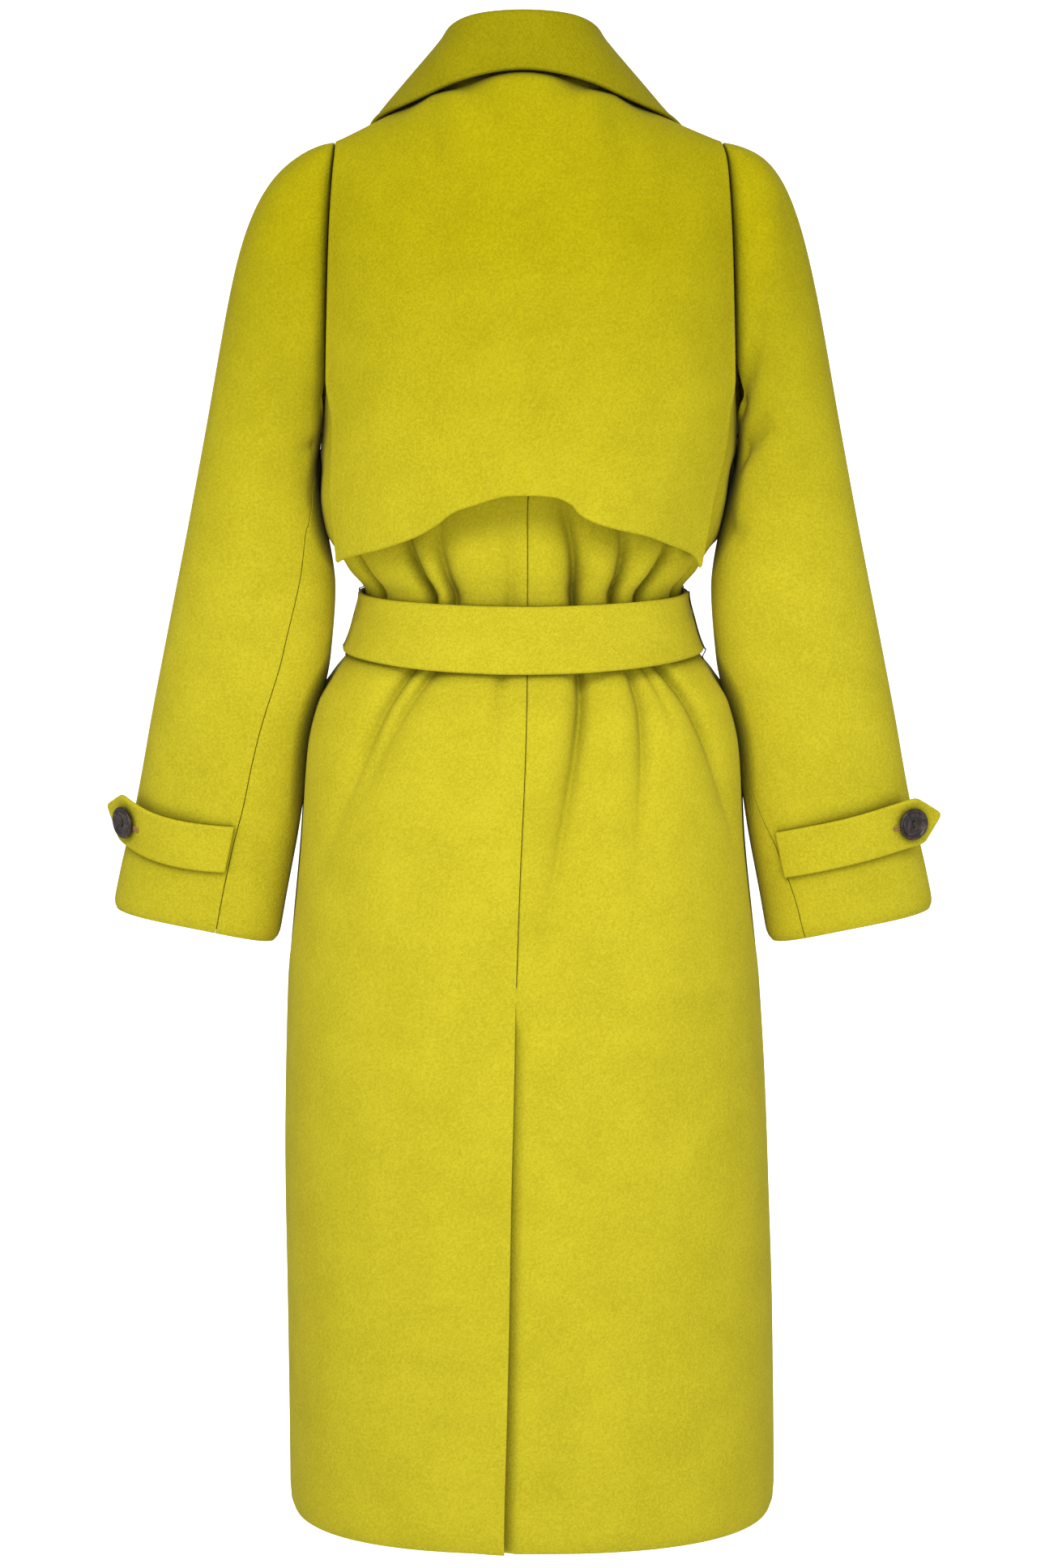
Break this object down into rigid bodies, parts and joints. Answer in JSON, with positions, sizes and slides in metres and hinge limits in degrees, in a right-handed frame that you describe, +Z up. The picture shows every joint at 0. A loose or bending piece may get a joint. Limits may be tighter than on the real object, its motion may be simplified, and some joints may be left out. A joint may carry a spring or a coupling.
{
  "type": "belted coat",
  "caption": "Long wool coat held in its worn, hollow shape: storm flap across the back, turned-down collar, buttoned cuff straps, back vent and a tied belt that gathers the waist.",
  "frame": {"origin": "base of the neck between the shoulders, where the wearer's shoulders carry the coat", "axes": "+Z up, +Y the wearer's front, +X the wearer's right; the back faces -Y"},
  "size_m": [0.6523, 0.33, 1.1707],
  "materials": {
    "wool": "brushed wool with a short nap",
    "horn": "polished dark mottled horn",
    "thread": "dark twisted thread"
  },
  "bodies": {
    "root": {"back_left": "wool", "back_right": "wool", "front_left": "wool", "front_right": "wool", "storm_flap": "wool", "collar": "wool", "lapel_left": "wool", "lapel_right": "wool", "sleeve_left_upper": "wool", "sleeve_left_under": "wool", "sleeve_right_upper": "wool", "sleeve_right_under": "wool", "cuff_strap_left": "wool", "cuff_strap_right": "wool", "button_left": "horn", "button_right": "horn", "belt_band": "wool", "belt_knot": "wool", "belt_tail_left": "wool", "belt_tail_right": "wool", "belt_loop_left": "thread", "belt_loop_right": "thread"}
  },
  "joints": []
}
